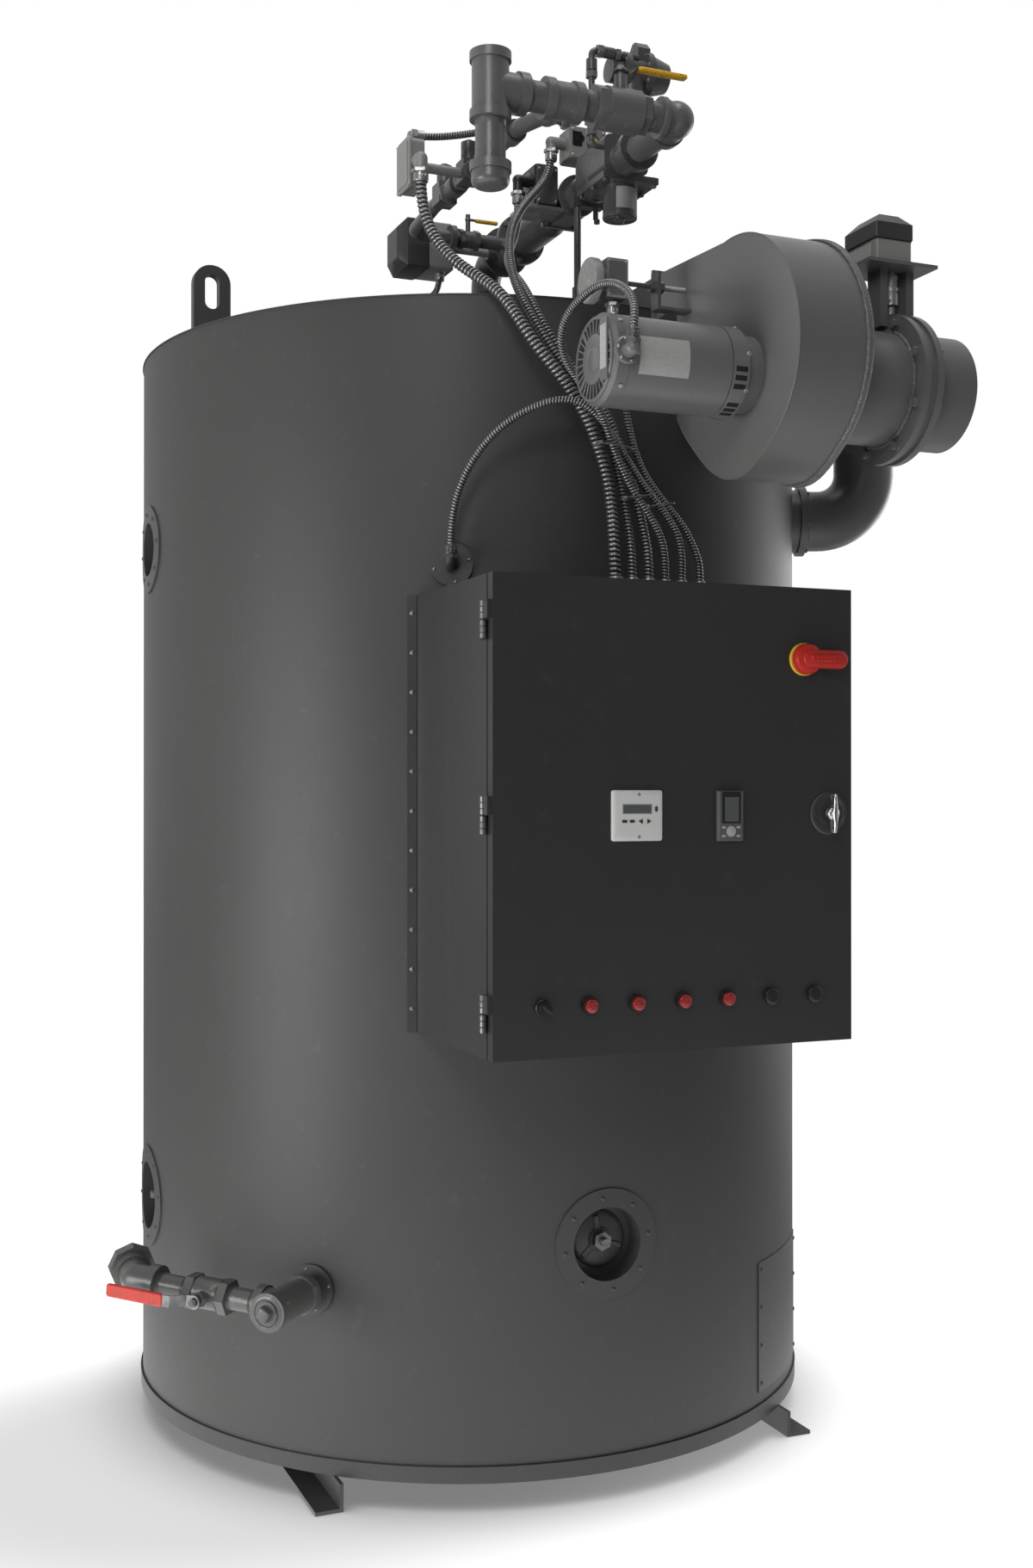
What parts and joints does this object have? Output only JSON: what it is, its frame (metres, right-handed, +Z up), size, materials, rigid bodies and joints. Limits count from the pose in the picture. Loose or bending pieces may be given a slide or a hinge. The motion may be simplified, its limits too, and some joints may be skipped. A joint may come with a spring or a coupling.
{
  "type": "vertical steam boiler",
  "caption": "Vertical cylindrical boiler with a hinged control panel, forced-draught blower, gas train, blowdown line and flexible conduits.",
  "frame": {"origin": "on the boiler's axis at floor level", "axes": "+Z up, -Y towards the control panel's front, +X towards the blower's air inlet"},
  "size_m": [2.0126, 2.3056, 3.152],
  "materials": {
    "shell_paint": "satin",
    "dark_paint": "satin",
    "pipe_paint": "satin",
    "plain_steel": "mill scale",
    "panel_paint": "fine texture",
    "bare_steel": "dull",
    "red_grip": "dipped vinyl",
    "yellow_grip": "dipped vinyl",
    "yellow_plastic": "moulded",
    "red_plastic": "moulded",
    "white_plastic": "moulded",
    "black_plastic": "moulded",
    "box_metal": "painted casting",
    "conduit_metal": "interlocked strip"
  },
  "bodies": {
    "boiler": {"access_panel": "dark_paint", "actuator_stand": "dark_paint", "actuators": "black_plastic", "air_inlet": "shell_paint", "air_switch": "pipe_paint", "base_rails": "dark_paint", "blowdown_piping": "pipe_paint", "blowdown_valve": "pipe_paint", "blower_motor": "shell_paint", "bottom_plate": "dark_paint", "burner_feed": "pipe_paint", "conduit_air_switch": "conduit_metal", "conduit_firing": "conduit_metal", "conduit_fittings": "bare_steel", "conduit_indicator": "conduit_metal", "conduit_junction": "conduit_metal", "conduit_motor": "conduit_metal", "conduit_port": "conduit_metal", "conduit_upper": "conduit_metal", "conduit_valve": "conduit_metal", "damper_body": "shell_paint", "door_hinges": "bare_steel", "flue_outlet": "dark_paint", "gas_cock": "pipe_paint", "gas_piping": "pipe_paint", "gas_regulator": "pipe_paint", "handhole_covers": "bare_steel", "indicator_box": "box_metal", "inlet_duct": "shell_paint", "jacket": "shell_paint", "junction_box": "box_metal", "lifting_lugs": "shell_paint", "lined_ports": "shell_paint", "mounting_plate": "bare_steel", "panel_box": "panel_paint", "pilot_line": "pipe_paint", "pipe_rosettes": "bare_steel", "pipe_support": "dark_paint", "pressure_vessel": "plain_steel", "recirculation_pipe": "shell_paint", "scroll_housing": "shell_paint", "second_valve": "pipe_paint", "shutoff_valve": "pipe_paint", "steam_outlet": "dark_paint", "top_plate": "shell_paint", "valve_actuator": "black_plastic", "windbox": "shell_paint"},
    "door": {"panel_door": "panel_paint", "disconnect_ring": "yellow_plastic", "latch_plate": "bare_steel", "panel_display": "white_plastic", "pilot_lights": "red_plastic", "panel_controls": "black_plastic"},
    "disconnect": {"disconnect_handle": "red_plastic"},
    "latch": {"latch_handle": "bare_steel"},
    "selector": {"selector_knob": "black_plastic"},
    "gas_lever": {"gas_cock_lever": "yellow_grip"},
    "pilot_lever": {"pilot_cock_lever": "yellow_grip"},
    "blowdown_handle": {"blowdown_lever": "red_grip"}
  },
  "joints": [
    {"name": "door_hinge", "type": "hinge", "parent": "boiler", "child": "door", "pos_m": [-0.401, -1.117, 1.457], "axis": [0, 0, -1], "range_deg": [0, 110]},
    {"name": "disconnect_turn", "type": "hinge", "parent": "door", "child": "disconnect", "pos_m": [0.28, -1.1446, 1.767], "axis": [0, 1, 0], "range_deg": [0, 90]},
    {"name": "latch_turn", "type": "hinge", "parent": "door", "child": "latch", "pos_m": [0.338, -1.1446, 1.457], "axis": [0, 1, 0], "range_deg": [0, 90]},
    {"name": "selector_turn", "type": "hinge", "parent": "door", "child": "selector", "pos_m": [-0.292, -1.1446, 1.094], "axis": [0, 1, 0], "range_deg": [-45, 45]},
    {"name": "gas_cock_turn", "type": "hinge", "parent": "boiler", "child": "gas_lever", "pos_m": [-0.048, -0.98, 2.962], "axis": [0, 0, -1], "range_deg": [0, 90]},
    {"name": "pilot_cock_turn", "type": "hinge", "parent": "boiler", "child": "pilot_lever", "pos_m": [-0.062, -0.15, 2.914], "axis": [0, 0, 1], "range_deg": [0, 90]},
    {"name": "blowdown_turn", "type": "hinge", "parent": "boiler", "child": "blowdown_handle", "pos_m": [-0.83527, -0.60652, 0.4559], "axis": [-0.7071, -0.7071, 0], "range_deg": [0, 90]}
  ]
}
